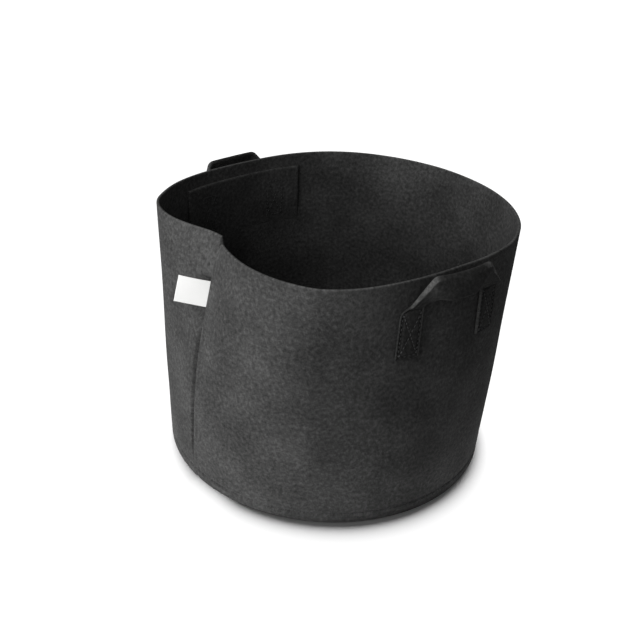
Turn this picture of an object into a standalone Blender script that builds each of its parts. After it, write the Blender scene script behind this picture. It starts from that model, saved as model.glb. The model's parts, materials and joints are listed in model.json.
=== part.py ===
"""Fabric grow bag: a felt tube with a lapped side seam, a sewn-in base and two strap handles.

Metres, +Z up. The origin is the centre of the base's underside. The side seam faces -Y, and the
handles stand near +X (right) and -X (left). A place on the wall is given by its turn, in degrees
anticlockwise from the seam's outer edge, and by its height above the floor.
"""
import math

import bmesh
import bpy
from mathutils import Matrix, Vector
from mathutils.geometry import interpolate_bezier

for leftover in list(bpy.data.objects):
    bpy.data.objects.remove(leftover, do_unlink=True)

# Felt tube and base
BAG_RADIUS = 0.200          # outer face of the wall at the floor
BAG_HEIGHT = 0.300
FELT = 0.0035               # thickness of the wall and base felt
BASE_TURN_UP = 0.018        # edge of the base, turned up inside the wall
SEAT_GAP = 0.0004           # clearance between layers that lie on each other

# Side seam: the sheet's far end runs on under its near end
SEAM_AZIMUTH = -90.0
SEAM_SLANT = 2.0            # the seam's foot lies this far round from its top
LAP_WIDTH = 0.022
LAP_GAP = 0.0006            # between the two lapped layers
LAP_RAMP = 25.0             # turn over which the inner layer steps inwards
BASE_RAMP = 12.5            # turn over which the base's edge steps back out, past the lap
RIM_GAPE = 0.004            # the lap opens by this much at the unsewn rim
GAPE_GROWTH = 8.0

# Sag of the soft wall, all of it growing from the round base up to the rim
RIM_FULLNESS = 0.013
HANDLE_FLAT = 0.0225        # depth of the flattened wall behind each handle
HANDLE_FLAT_SPREAD = 22.0
HANDLE_FLAT_GROWTH = 1.5
SEAM_DENT = 0.048           # the wall falls inwards at the seam
SEAM_DENT_SPAN = 44.0
SEAM_DENT_GROWTH = 2.1
DENT_FRONT_POWER = 1.2

# Handles
RIGHT_HANDLE_TURN = 87.3    # middle of each handle, nearly a quarter turn from the seam
LEFT_HANDLE_TURN = 271.5
STRAP_WIDTH = 0.025
STRAP = 0.004               # two plies of felt, sewn flat at the tabs
GRIP = 0.0065               # the same plies where nothing presses them flat
TAB_LENGTH = 0.056
TAB_SPACING = 0.115         # between the tabs' middles, along the wall
HINGE_BELOW_RIM = 0.030     # line where the strap leaves its tabs
GRIP_LENGTH = 0.075         # between the loop's two bends, along its upper edge
GRIP_REACH = 0.0165         # upper edge of the grip, out from the rim
GRIP_RISE = 0.003           # upper edge of the grip, above the rim
GRIP_HOLLOW = 0.004         # the loop's bends draw up past the middle of the grip
GRIP_TILT = 35.0            # lower edge of the grip swings out from the vertical
BEND_LEAD = 0.0115          # the lower edge bends this far nearer to the middle
FOOT_RELIEF = 20.0          # slant of the loop's feet, which lets it swing in over its tabs
PATCH_WIDTH = 0.186
PATCH_HEIGHT = 0.083
PATCH_BELOW_RIM = 0.017
PATCH = 0.003               # thickness of the reinforcing felt

# Label
LABEL_WIDTH = 0.037
LABEL_HEIGHT = 0.0295
LABEL = 0.0008
LABEL_BELOW_RIM = 0.0476
LABEL_OPEN = 54.0           # angle between the label and the wall at the seam

# Threads
THREAD_WIDTH = 0.0012
THREAD_RISE = 0.0008
BASE_SEAM_HEIGHT = 0.012
SIDE_SEAM_INSET = 0.008     # from the lap's outer edge
SIDE_SEAM_BELOW_RIM = 0.012
BOX_INSET = 0.003           # from the edges of a tab

# Mesh steps
WALL_STEP = 3.0
WALL_ROWS = 10
ROW_CROWDING = 1.6          # rows lie closer together towards the rim, where the wall bends most
LAP_COLUMNS = 2
TAB_COLUMNS = 4
LOOP_STEPS = 11
SHARP_ANGLE = 35.0          # edges sharper than this are not shaded smooth

FULL_TURN = 360.0
PROBE = 0.01                # a turn too small to see, for slopes
HINGE_HEIGHT = BAG_HEIGHT - HINGE_BELOW_RIM
TAB_TOP = HINGE_HEIGHT - SEAT_GAP
TAB_BOTTOM = TAB_TOP - TAB_LENGTH
LAP_TURN = math.degrees(LAP_WIDTH / BAG_RADIUS)
HANDLE_TURNS = {"right": RIGHT_HANDLE_TURN, "left": LEFT_HANDLE_TURN}


def smooth(share):
    """Ease from 0 to 1."""
    share = min(max(share, 0.0), 1.0)
    return share * share * (3.0 - 2.0 * share)


def turn_of(length):
    """Turn covered by a length along the wall."""
    return math.degrees(length / BAG_RADIUS)


def dent_share(turn):
    """Depth of the seam's dent, 1 at the seam. It is a soft hollow behind and a crease in front."""
    behind = FULL_TURN - turn
    if 0.0 <= behind <= FULL_TURN / 2:
        return 0.5 + 0.5 * math.cos(math.pi * min(behind / SEAM_DENT_SPAN, 1.0))
    ahead = max(-behind if behind < 0.0 else turn, 0.0)
    return max(0.0, 1.0 - ahead / SEAM_DENT_SPAN) ** DENT_FRONT_POWER


def wall_radius(turn, height):
    """Radius of the wall's outer face."""
    rise = max(height, 0.0) / BAG_HEIGHT
    radius = BAG_RADIUS + RIM_FULLNESS * rise
    for handle_turn in HANDLE_TURNS.values():
        spread = (turn - handle_turn) / HANDLE_FLAT_SPREAD
        radius -= HANDLE_FLAT * rise ** HANDLE_FLAT_GROWTH * math.exp(-0.5 * spread * spread)
    radius -= SEAM_DENT * rise ** SEAM_DENT_GROWTH * dent_share(turn)
    under = smooth((turn - FULL_TURN + LAP_RAMP) / (LAP_RAMP - PROBE))
    return radius - under * (FELT + LAP_GAP + RIM_GAPE * rise ** GAPE_GROWTH)


def wall_angle(turn, height):
    """Direction from the bag's middle to a place on the wall."""
    return math.radians(SEAM_AZIMUTH + turn - SEAM_SLANT * (1.0 - height / BAG_HEIGHT))


def face_point(turn, height):
    """Point on the wall's outer face."""
    angle = wall_angle(turn, height)
    radius = wall_radius(turn, height)
    return Vector((radius * math.cos(angle), radius * math.sin(angle), height))


def wall_point(turn, height, out=0.0):
    """Point off the wall's outer face, level with it, outwards for a positive distance."""
    along = face_point(turn + PROBE, height) - face_point(turn - PROBE, height)
    outwards = Vector((along.y, -along.x, 0.0)).normalized()
    return face_point(turn, height) + outwards * out


def steps(low, high, count):
    """Evenly spaced values from low to high."""
    return [low + (high - low) * index / count for index in range(count + 1)]


def wall_rows(low, high):
    """Heights of the wall's rows of facets between two heights, with those two as the ends."""
    rows = [BAG_HEIGHT * (1.0 - (1.0 - share) ** ROW_CROWDING) for share in steps(0.0, 1.0, WALL_ROWS)]
    return [low] + [row for row in rows if low + SEAT_GAP < row < high - SEAT_GAP] + [high]


def finish(name, mesh, material, origin=Vector()):
    """Make a closed bmesh into a named object whose own origin is at the given point."""
    bmesh.ops.translate(mesh, verts=mesh.verts[:], vec=-origin)
    bmesh.ops.recalc_face_normals(mesh, faces=mesh.faces[:])
    data = bpy.data.meshes.new(name)
    mesh.to_mesh(data)
    mesh.free()
    data.materials.append(material)
    data.shade_smooth()
    data.set_sharp_from_angle(angle=math.radians(SHARP_ANGLE))
    piece = bpy.data.objects.new(name, data)
    piece.location = origin
    bpy.context.scene.collection.objects.link(piece)
    return piece


def flat_grid(turns, heights):
    """A flat cut of felt, drawn with x as turn and y as height."""
    flat = bmesh.new()
    rows = [[flat.verts.new((turn, height, 0.0)) for turn in turns] for height in heights]
    for lower, upper in zip(rows, rows[1:]):
        for corner in range(len(turns) - 1):
            flat.faces.new((lower[corner], lower[corner + 1], upper[corner + 1], upper[corner]))
    return flat


def lay_on_wall(name, flat, low, high, material):
    """Lay a flat cut on the wall, filling the space between two distances from its outer face."""
    raised = bmesh.ops.extrude_face_region(flat, geom=flat.faces[:])["geom"]
    upper = {vert for vert in raised if isinstance(vert, bmesh.types.BMVert)}
    for vert in flat.verts:
        vert.co = wall_point(vert.co.x, vert.co.y, high if vert in upper else low)
    return finish(name, flat, material)


def loft(name, sections, material, origin=Vector()):
    """Join a row of equal closed sections into one solid with flat ends."""
    solid = bmesh.new()
    rings = [[solid.verts.new(point) for point in section] for section in sections]
    for ring, following in zip(rings, rings[1:]):
        for corner in range(len(ring)):
            after = (corner + 1) % len(ring)
            solid.faces.new((ring[corner], ring[after], following[after], following[corner]))
    solid.faces.new(rings[0])
    solid.faces.new(rings[-1])
    return finish(name, solid, material, origin)


def plain_material(name, colour, roughness):
    """A Principled BSDF with one colour."""
    material = bpy.data.materials.new(name)
    material.use_nodes = True
    shader = material.node_tree.nodes["Principled BSDF"]
    shader.inputs["Base Color"].default_value = (*colour, 1.0)
    shader.inputs["Roughness"].default_value = roughness
    shader.inputs["Metallic"].default_value = 0.0
    return material


wall_felt = plain_material("charcoal_felt", (0.060, 0.060, 0.060), 0.95)
strap_felt = plain_material("strap_felt", (0.045, 0.045, 0.045), 0.95)
black_thread = plain_material("black_thread", (0.020, 0.020, 0.020), 0.60)
white_tape = plain_material("white_label_tape", (0.85, 0.85, 0.84), 0.75)


def make_wall():
    """One sheet, rolled up with its far end lapped under its near end. Its lower edge clears the floor."""
    turns = steps(0.0, FULL_TURN, round(FULL_TURN / WALL_STEP))
    turns += steps(FULL_TURN, FULL_TURN + LAP_TURN, LAP_COLUMNS)[1:]
    flat = flat_grid(turns, wall_rows(SEAT_GAP, BAG_HEIGHT))
    lay_on_wall("wall_sheet", flat, -FELT, 0.0, wall_felt)


def base_depth(turn):
    """From the wall's outer face in to the base's edge, which also clears the lap's inner layer."""
    past_lap = smooth((turn - LAP_TURN - WALL_STEP) / BASE_RAMP)
    return FELT + SEAT_GAP + (FELT + LAP_GAP) * (1.0 - past_lap)


def make_base():
    """A felt disc with its edge turned up to be sewn to the wall."""
    turns = steps(0.0, FULL_TURN, round(FULL_TURN / WALL_STEP))[:-1]
    profile = ((0.0, 0.0), (0.0, BASE_TURN_UP), (FELT, BASE_TURN_UP), (FELT, FELT))
    solid = bmesh.new()
    rings = []
    for inwards, height in profile:
        points = [wall_point(turn, height, -base_depth(turn) - inwards) for turn in turns]
        rings.append([solid.verts.new(point) for point in points])
    for ring, following in zip(rings, rings[1:]):
        for corner in range(len(ring)):
            after = (corner + 1) % len(ring)
            solid.faces.new((ring[corner], ring[after], following[after], following[corner]))
    solid.faces.new(rings[0])
    solid.faces.new(rings[-1])
    finish("base_disc", solid, wall_felt)


def make_seam_threads():
    """Rows of stitching round the base and up the side seam, each with its thread inside and out."""
    low, high = SEAT_GAP, SEAT_GAP + THREAD_RISE
    half = THREAD_WIDTH / 2
    ends = turn_of(THREAD_WIDTH)
    turns = steps(ends, FULL_TURN - ends, round(FULL_TURN / WALL_STEP))
    heights = (BASE_SEAM_HEIGHT - half, BASE_SEAM_HEIGHT + half)
    lay_on_wall("base_seam_thread", flat_grid(turns, heights), low, high, black_thread)

    corners = ((low, heights[0]), (low, heights[1]), (high, heights[1]), (high, heights[0]))
    sections = [[wall_point(turn, height, -base_depth(turn) - FELT - inwards) for inwards, height in corners]
                for turn in turns]
    loft("base_seam_bobbin_thread", sections, black_thread)

    middle = turn_of(SIDE_SEAM_INSET)
    turns = (middle - turn_of(half), middle + turn_of(half))
    heights = wall_rows(BASE_TURN_UP + SIDE_SEAM_INSET, BAG_HEIGHT - SIDE_SEAM_BELOW_RIM)
    lay_on_wall("side_seam_thread", flat_grid(turns, heights), low, high, black_thread)
    inner = flat_grid([FULL_TURN + turn for turn in turns], heights)
    lay_on_wall("side_seam_bobbin_thread", inner, -FELT - high, -FELT - low, black_thread)


def box_and_cross(middle):
    """Flat outline of a box with a cross in it, THREAD_WIDTH wide, centred on a tab."""
    flat = bmesh.new()
    across = STRAP_WIDTH / 2 - BOX_INSET
    tall = TAB_LENGTH / 2 - BOX_INSET
    inner_across, inner_tall = across - THREAD_WIDTH, tall - THREAD_WIDTH
    diagonal = math.hypot(inner_across, inner_tall)
    slip_across = THREAD_WIDTH / 2 * diagonal / inner_tall
    slip_tall = THREAD_WIDTH / 2 * diagonal / inner_across
    centre = (TAB_TOP + TAB_BOTTOM) / 2

    def corner(x, y):
        return flat.verts.new((middle + turn_of(x), centre + y, 0.0))

    outer = [corner(x * across, y * tall) for x, y in ((-1, -1), (1, -1), (1, 1), (-1, 1))]
    holes = []
    for x, y in ((0, -1), (1, 0), (0, 1), (-1, 0)):
        if y:
            reach = inner_across - slip_across
            ends = [corner(y * reach * side, y * inner_tall) for side in (1, -1)]
            apex = corner(0.0, y * slip_tall)
        else:
            reach = inner_tall - slip_tall
            ends = [corner(x * inner_across, x * reach * side) for side in (-1, 1)]
            apex = corner(x * slip_across, 0.0)
        holes.append((ends, apex))
    for index, (ends, apex) in enumerate(holes):
        after = (index + 1) % len(holes)
        next_ends, next_apex = holes[after]
        flat.faces.new((outer[index], outer[after], ends[1], ends[0]))
        flat.faces.new((ends[1], outer[after], next_ends[0], next_apex, apex))
    flat.faces.new([apex for _, apex in holes])
    for share in steps(-across, across, TAB_COLUMNS)[1:-1]:
        bmesh.ops.bisect_plane(flat, geom=flat.verts[:] + flat.edges[:] + flat.faces[:], dist=PROBE,
                               plane_co=(middle + turn_of(share), 0.0, 0.0), plane_no=(1.0, 0.0, 0.0))
    return flat


def make_tab(handle, end, middle):
    """A sewn strap end with its box-and-cross stitching, outside on the strap and inside on the patch."""
    name = f"{handle}_handle_{end}_tab"
    half = turn_of(STRAP_WIDTH / 2)
    turns = steps(middle - half, middle + half, TAB_COLUMNS)
    heights = wall_rows(TAB_BOTTOM, TAB_TOP)
    lay_on_wall(name, flat_grid(turns, heights), SEAT_GAP, SEAT_GAP + STRAP, strap_felt)
    outside = SEAT_GAP + STRAP + SEAT_GAP
    lay_on_wall(f"{name}_thread", box_and_cross(middle), outside, outside + THREAD_RISE, black_thread)
    inside = -FELT - SEAT_GAP - PATCH - SEAT_GAP
    lay_on_wall(f"{name}_bobbin_thread", box_and_cross(middle), inside - THREAD_RISE, inside, black_thread)


def loop_sections(middle):
    """Sections of the free strap from tab to tab, and the point on its hinge line. Its bends are full."""
    to_world = Matrix.Rotation(wall_angle(middle, HINGE_HEIGHT), 3, "Z")
    to_handle = to_world.transposed()
    tab_turn = middle - turn_of(TAB_SPACING / 2)
    foot = to_handle @ wall_point(tab_turn, HINGE_HEIGHT, SEAT_GAP + STRAP / 2)
    foot_across = face_point(tab_turn + PROBE, HINGE_HEIGHT) - face_point(tab_turn - PROBE, HINGE_HEIGHT)
    foot_across = to_handle @ foot_across.normalized() * STRAP_WIDTH
    rim = to_handle @ face_point(middle, BAG_HEIGHT)
    along = Vector((0.0, 1.0, 0.0))
    tilt = math.radians(GRIP_TILT)
    hanging = Vector((math.sin(tilt), 0.0, -math.cos(tilt))) * STRAP_WIDTH
    summit = Vector((rim.x + GRIP_REACH, 0.0, BAG_HEIGHT + GRIP_RISE))
    bend = summit + Vector((0.0, -GRIP_LENGTH / 2, GRIP_HOLLOW))
    under_bend = bend + hanging + along * BEND_LEAD

    start = foot - foot_across / 2
    uppers = interpolate_bezier(start, bend, bend, summit, LOOP_STEPS)
    lowers = interpolate_bezier(start + foot_across, under_bend, under_bend, summit + hanging, LOOP_STEPS)
    acrosses = [(lower - upper).normalized() for upper, lower in zip(uppers, lowers)]
    centres = [upper + across * STRAP_WIDTH / 2 for upper, across in zip(uppers, acrosses)]
    headings = [after - before for before, after in zip(centres, centres[2:] + [centres[-1] + along])]
    headings.insert(0, Vector((0.0, 0.0, 1.0)))
    fullness = [smooth(2.0 * share) for share in steps(0.0, 1.0, LOOP_STEPS - 1)]
    halves = [(STRAP + (GRIP - STRAP) * full) / 2 for full in fullness]
    sections = [strap_section(upper, across, across.cross(heading).normalized() * half)
                for upper, across, heading, half in zip(uppers, acrosses, headings, halves)]

    hinge = Vector((max(corner.x for corner in sections[0]), 0.0, HINGE_HEIGHT))
    slope = math.tan(math.radians(FOOT_RELIEF))
    for corner in sections[0]:
        corner.z = hinge.z + (hinge.x - corner.x) * slope
    mirror = Matrix.Scale(-1.0, 3, along)
    sections += [[mirror @ corner for corner in section] for section in reversed(sections[:-1])]
    return [[to_world @ corner for corner in section] for section in sections], to_world @ hinge


def strap_section(upper, across, facing):
    """Four corners of the strap's section, from its upper edge to its lower edge."""
    lower = upper + across * STRAP_WIDTH
    return [upper - facing, lower - facing, lower + facing, upper + facing]


def make_handle(handle, middle):
    """A strap sewn on at both ends, with a reinforcing patch behind it inside the wall."""
    spread = turn_of(TAB_SPACING / 2)
    for end, side in (("front", -1), ("rear", 1)):
        facing = side if handle == "right" else -side
        make_tab(handle, end, middle + facing * spread)
    sections, hinge = loop_sections(middle)
    loft(f"{handle}_handle_loop", sections, strap_felt, hinge)
    half = turn_of(PATCH_WIDTH / 2)
    top = BAG_HEIGHT - PATCH_BELOW_RIM
    columns = round(half * 2 / WALL_STEP)
    flat = flat_grid(steps(middle - half, middle + half, columns), wall_rows(top - PATCH_HEIGHT, top))
    lay_on_wall(f"{handle}_handle_patch", flat, -FELT - SEAT_GAP - PATCH, -FELT - SEAT_GAP, strap_felt)


def make_label():
    """A flag caught in the side seam by one edge and standing off the wall."""
    clear = SEAT_GAP + LABEL / 2
    top = BAG_HEIGHT - LABEL_BELOW_RIM
    edge_turn = FULL_TURN - turn_of(clear)
    lower = wall_point(edge_turn, top - LABEL_HEIGHT, clear)
    upper = wall_point(edge_turn, top, clear)
    axis = (upper - lower).normalized()
    away = wall_point(edge_turn - PROBE, top, clear) - wall_point(edge_turn, top, clear)
    flat_out = (away - axis * away.dot(axis)).normalized()
    opened = Matrix.Rotation(math.radians(LABEL_OPEN), 3, axis) @ flat_out
    facing = axis.cross(opened) * LABEL / 2
    sewn_end = [lower - facing, upper - facing, upper + facing, lower + facing]
    free_end = [corner + opened * LABEL_WIDTH for corner in sewn_end]
    loft("seam_label", [sewn_end, free_end], white_tape, (lower + upper) / 2)


make_wall()
make_base()
make_seam_threads()
for handle_name, handle_turn in HANDLE_TURNS.items():
    make_handle(handle_name, handle_turn)
make_label()
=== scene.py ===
"""Looks of the fabric grow bag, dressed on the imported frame. Metres, +Z up, seam towards -Y."""
import json
import math

import bpy
import numpy as np
from mathutils import Matrix, Vector


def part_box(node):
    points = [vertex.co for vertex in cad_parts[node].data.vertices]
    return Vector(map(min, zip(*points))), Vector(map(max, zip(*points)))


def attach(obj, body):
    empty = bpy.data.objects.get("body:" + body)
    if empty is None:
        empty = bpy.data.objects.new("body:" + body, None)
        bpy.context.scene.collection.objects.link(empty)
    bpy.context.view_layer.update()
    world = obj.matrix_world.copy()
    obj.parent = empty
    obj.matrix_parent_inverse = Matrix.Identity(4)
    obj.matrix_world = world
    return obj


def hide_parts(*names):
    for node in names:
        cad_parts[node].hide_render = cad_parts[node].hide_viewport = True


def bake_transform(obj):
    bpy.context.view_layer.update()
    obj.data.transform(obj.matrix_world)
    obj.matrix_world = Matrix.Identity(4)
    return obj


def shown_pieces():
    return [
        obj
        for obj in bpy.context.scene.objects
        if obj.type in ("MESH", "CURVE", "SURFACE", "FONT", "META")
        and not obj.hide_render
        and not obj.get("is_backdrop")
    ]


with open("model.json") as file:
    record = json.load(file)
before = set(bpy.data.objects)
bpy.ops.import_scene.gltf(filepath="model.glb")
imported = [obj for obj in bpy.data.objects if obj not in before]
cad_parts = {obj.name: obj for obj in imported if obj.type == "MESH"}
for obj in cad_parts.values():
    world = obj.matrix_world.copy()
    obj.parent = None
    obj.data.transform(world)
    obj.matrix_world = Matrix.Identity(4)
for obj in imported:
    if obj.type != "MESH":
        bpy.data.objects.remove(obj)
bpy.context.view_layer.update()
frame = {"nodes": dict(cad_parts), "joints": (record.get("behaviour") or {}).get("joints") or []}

# The wall is one sheet of charcoal non-woven felt, needled from short fibres. It is cut to a rectangle,
# rolled into a tube and lapped on itself at the side seam. Nothing stiffens it, so it sags at the seam and
# behind the handles, and its cut edges are left raw.
BAG_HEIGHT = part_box("wall_sheet")[1].z
BAG_RADIUS = 0.200
FELT = 0.0035
SEAT_GAP = 0.0004
FULL_TURN = 360.0
PROBE = 0.01
SEAM_AZIMUTH, SEAM_SLANT = -90.0, 2.0
LAP_WIDTH, LAP_GAP = 0.022, 0.0006
LAP_DIVE, LAP_GROOVE, FLUSH_TURN, FLUSH_THINNEST = 0.009, 0.0032, 2.0, 0.08
LAP_OPEN_FROM, LAP_OPEN_TO, LAP_FADE_LOW, LAP_FADE_HIGH = 0.015, 0.250, 0.03, 0.012
LAP_PINCH, LAP_PINCH_HEIGHT, LAP_PINCH_REACH = 0.85, 0.203, 0.010
GROOVE_FROM, GROOVE_TO, GROOVE_FADE_LOW, GROOVE_FADE_HIGH = 0.022, 0.17, 0.018, 0.04
LAP_DIVE_LOW, LAP_DIVE_RISE = 0.0035, 0.16
LABEL_HOLLOW, HOLLOW_FROM, HOLLOW_TO, HOLLOW_FADE = 0.033, 0.206, 0.252, 0.010
RIM_GAPE, GAPE_GROWTH = 0.004, 8.0
RIM_FULLNESS = 0.013
HANDLE_FLAT, HANDLE_FLAT_SPREAD, HANDLE_FLAT_GROWTH = 0.0225, 22.0, 1.5
SEAM_DENT, SEAM_DENT_SPAN, SEAM_DENT_GROWTH, DENT_FRONT_POWER = 0.048, 44.0, 2.1, 1.2
HANDLE_TURNS = {"right": 87.3, "left": 271.5}
BASE_SEAM_HEIGHT = 0.012
SIDE_SEAM_INSET = 0.008
CUT_BENDS, CUT_POWER = (0.0, 25.0, 55.0, 90.0), 0.7
RIPPLE_COUNT, RIPPLE_DEPTH, RIPPLE_SEED = 16, 0.0022, 5
RIPPLE_TURNS, RIPPLE_LEAN = (5, 26), 45.0
RIPPLE_FOOT, RIPPLE_CALM, CALM_FROM, CALM_SPAN = 0.08, 0.7, 0.2, 0.1
CREASES = (
    # turn and height of both ends, depth and half width of each small crease pressed into the sheet
    ((353.1, 0.2755), (357.4, 0.2702), 0.0017, 0.0016),
    ((350.6, 0.2037), (352.8, 0.2022), 0.0016, 0.0036),
    ((356.3, 0.2062), (359.2, 0.2040), 0.0016, 0.0030),
    ((358.5, 0.2192), (358.7, 0.2184), 0.0030, 0.0014),
    ((17.6, 0.1433), (24.5, 0.1484), 0.0005, 0.0030),
    ((22.0, 0.1026), (27.4, 0.1049), 0.0005, 0.0026),
)
chance = np.random.default_rng(RIPPLE_SEED)
ripple_waves = [
    (int(chance.integers(*RIPPLE_TURNS)), chance.uniform(-RIPPLE_LEAN, RIPPLE_LEAN),
     chance.uniform(0.0, math.tau))
    for _ in range(RIPPLE_COUNT)
]


def ease(share):
    """Ease from 0 to 1."""
    share = np.clip(share, 0.0, 1.0)
    return share * share * (3.0 - 2.0 * share)


def turn_of(length):
    """Turn covered by a length along the wall."""
    return math.degrees(length / BAG_RADIUS)


def seam_hollow(turn):
    """Depth of the dent at the seam, from 0 to 1: a soft hollow behind it and a crease in front."""
    behind = FULL_TURN - turn
    soft = 0.5 + 0.5 * np.cos(np.pi * np.clip(behind / SEAM_DENT_SPAN, 0.0, 1.0))
    ahead = np.maximum(np.where(behind < 0.0, -behind, turn), 0.0)
    sharp = np.maximum(0.0, 1.0 - ahead / SEAM_DENT_SPAN) ** DENT_FRONT_POWER
    return np.where((behind >= 0.0) & (behind <= FULL_TURN / 2), soft, sharp)


def unevenness(turn, height):
    """Small ripples and pressed creases of a handled sheet, alike on both layers of the lap."""
    ripple = 0.0
    for around, upwards, phase in ripple_waves:
        ripple = ripple + np.cos(around * np.radians(turn) + upwards * height + phase) / around
    calm = RIPPLE_CALM * ease((height - CALM_FROM) / CALM_SPAN)
    ripple = ripple * ease(height / RIPPLE_FOOT) * (1.0 - calm)
    total = RIPPLE_DEPTH * ripple
    along, up = np.radians(turn) * BAG_RADIUS, height
    for (turn_a, low), (turn_b, high), depth, width in CREASES:
        start = np.array((math.radians(turn_a) * BAG_RADIUS, low))
        run = np.array((math.radians(turn_b) * BAG_RADIUS, high)) - start
        share = ((along - start[0]) * run[0] + (up - start[1]) * run[1]) / (run @ run)
        share = np.clip(share, 0.0, 1.0)
        off = (along - start[0] - share * run[0]) ** 2 + (up - start[1] - share * run[1]) ** 2
        total = total - depth * np.exp(-off / width ** 2)
    return total


def lap_open(height):
    """How far the lap's edge stands open: 1 along the side, and 0 at the rim and the foot.

    There it lies flush. The stitches that hold the label pinch it nearly shut just below the label.
    """
    pinched = LAP_PINCH * np.exp(-((height - LAP_PINCH_HEIGHT) / LAP_PINCH_REACH) ** 2)
    below_rim = 1.0 - ease((height - LAP_OPEN_TO) / LAP_FADE_HIGH)
    return ease((height - LAP_OPEN_FROM) / LAP_FADE_LOW) * below_rim * (1.0 - pinched)


def wall_radius(turn, height):
    """Radius of the wall's outer face."""
    rise = np.maximum(height, 0.0) / BAG_HEIGHT
    radius = BAG_RADIUS + RIM_FULLNESS * rise
    for handle_turn in HANDLE_TURNS.values():
        spread = (turn - handle_turn) / HANDLE_FLAT_SPREAD
        radius = radius - HANDLE_FLAT * rise ** HANDLE_FLAT_GROWTH * np.exp(-0.5 * spread * spread)
    radius = radius - SEAM_DENT * rise ** SEAM_DENT_GROWTH * seam_hollow(turn)
    behind_label = (ease((height - HOLLOW_FROM) / HOLLOW_FADE)
                    * (1.0 - ease((height - HOLLOW_TO) / HOLLOW_FADE)))
    dive = LAP_DIVE_LOW + (LAP_DIVE - LAP_DIVE_LOW) * ease(height / LAP_DIVE_RISE)
    lead = (turn_of(1.0) * dive + turn_of(LABEL_HOLLOW) * behind_label) * lap_open(height)
    under = ease((turn - FULL_TURN + lead) / (lead + FLUSH_TURN * (1.0 - lap_open(height))))
    groove = (ease((height - GROOVE_FROM) / GROOVE_FADE_LOW)
              * (1.0 - ease((height - GROOVE_TO) / GROOVE_FADE_HIGH)))
    deeper = LAP_GROOVE * np.maximum(groove, behind_label)
    radius = radius - under * (FELT + LAP_GAP + deeper + RIM_GAPE * rise ** GAPE_GROWTH)
    return radius + unevenness(turn, height)


def face_point(turn, height):
    """Point on the wall's outer face. Turns and heights may be arrays of one shape."""
    turn, height = np.broadcast_arrays(np.asarray(turn, float), np.asarray(height, float))
    angle = np.radians(SEAM_AZIMUTH + turn - SEAM_SLANT * (1.0 - height / BAG_HEIGHT))
    radius = wall_radius(turn, height)
    return np.stack([radius * np.cos(angle), radius * np.sin(angle), height], axis=-1)


def outwards(turn, height):
    """Level direction square to the wall."""
    along = face_point(turn + PROBE, height) - face_point(turn - PROBE, height)
    normal = np.stack([along[..., 1], -along[..., 0], np.zeros(along.shape[:-1])], axis=-1)
    return normal / np.linalg.norm(normal, axis=-1, keepdims=True)


def wall_point(turn, height, out):
    """Point off the wall's outer face, outwards for a positive distance."""
    turn, height = np.broadcast_arrays(np.asarray(turn, float), np.asarray(height, float))
    return face_point(turn, height) + outwards(turn, height) * np.asarray(out, float)[..., None]


def cut_steps(low, high, step, edge):
    """Places across a cut panel, crowded at its two edges, and how full its thickness is at each."""
    bends = np.radians(CUT_BENDS)
    rounding, fullness = edge * (1.0 - np.cos(bends)), np.sin(bends) ** CUT_POWER
    inner = np.linspace(low + edge, high - edge, max(2, round((high - low - 2.0 * edge) / step)))
    places = np.concatenate([low + rounding[:-1], inner, high - rounding[-2::-1]])
    return places, np.concatenate([fullness[:-1], np.ones(len(inner)), fullness[-2::-1]])


def make_piece(name, points, faces, places, material, paling_and_highlight=0.0):
    """A smooth mesh with its material. Places are the face corners' places on the flat cut, in metres.

    The last argument says, for each point, how far the felt is paled: partly the paler loose fibres of a cut
    or rubbed edge, partly a painted highlight for the light that the edges catch.
    """
    mesh = bpy.data.meshes.new(name)
    mesh.from_pydata(points.tolist(), [], faces)
    felt_map = mesh.uv_layers.new(name="flat_cut")
    felt_map.uv.foreach_set("vector", np.asarray(places, np.float32).ravel())
    pale_edge_and_highlight = mesh.attributes.new("pale_edge_and_highlight", "FLOAT", "POINT")
    pale_edge_and_highlight.data.foreach_set("value", np.broadcast_to(np.asarray(paling_and_highlight, np.float32), len(points)).copy())
    mesh.materials.append(material)
    mesh.shade_smooth()
    piece = bpy.data.objects.new(name, mesh)
    bpy.context.scene.collection.objects.link(piece)
    return piece


def cut_panel(name, front, back, flat, material, paling_and_highlight=None):
    """A closed panel from its two faces, which are grids that meet along the cut edges."""
    paling_and_highlight = np.zeros(front.shape[:2]) if paling_and_highlight is None else paling_and_highlight
    rows, columns = front.shape[:2]
    front_index = np.arange(rows * columns).reshape(rows, columns)
    back_index = front_index.copy()
    back_index[1:-1, 1:-1] = rows * columns + np.arange((rows - 2) * (columns - 2)).reshape(rows - 2, -1)
    points = np.concatenate([front.reshape(-1, 3), back[1:-1, 1:-1].reshape(-1, 3)])
    faces, places = [], []
    for index, order in ((front_index, 1), (back_index, -1)):
        for grid, wanted in ((index, faces), (front_index, places)):
            corners = np.stack([grid[:-1, :-1], grid[:-1, 1:], grid[1:, 1:], grid[1:, :-1]], axis=-1)
            wanted.append(corners.reshape(-1, 4)[:, ::order])
    places = flat.reshape(-1, 2)[np.concatenate(places)]
    paling_and_highlight = np.concatenate([paling_and_highlight.ravel(), paling_and_highlight[1:-1, 1:-1].ravel()])
    return make_piece(name, points, np.concatenate(faces).tolist(), places, material, paling_and_highlight)


def node(tree, kind, sockets=(), **settings):
    """Add a shader node and give its first output. A socket takes a value or another node's output."""
    made = tree.nodes.new(kind)
    for name, value in settings.items():
        setattr(made, name, value)
    for socket, value in dict(sockets).items():
        if isinstance(value, bpy.types.NodeSocket):
            tree.links.new(value, made.inputs[socket])
        else:
            made.inputs[socket].default_value = value
    return made.outputs[0] if made.outputs else None


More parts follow.
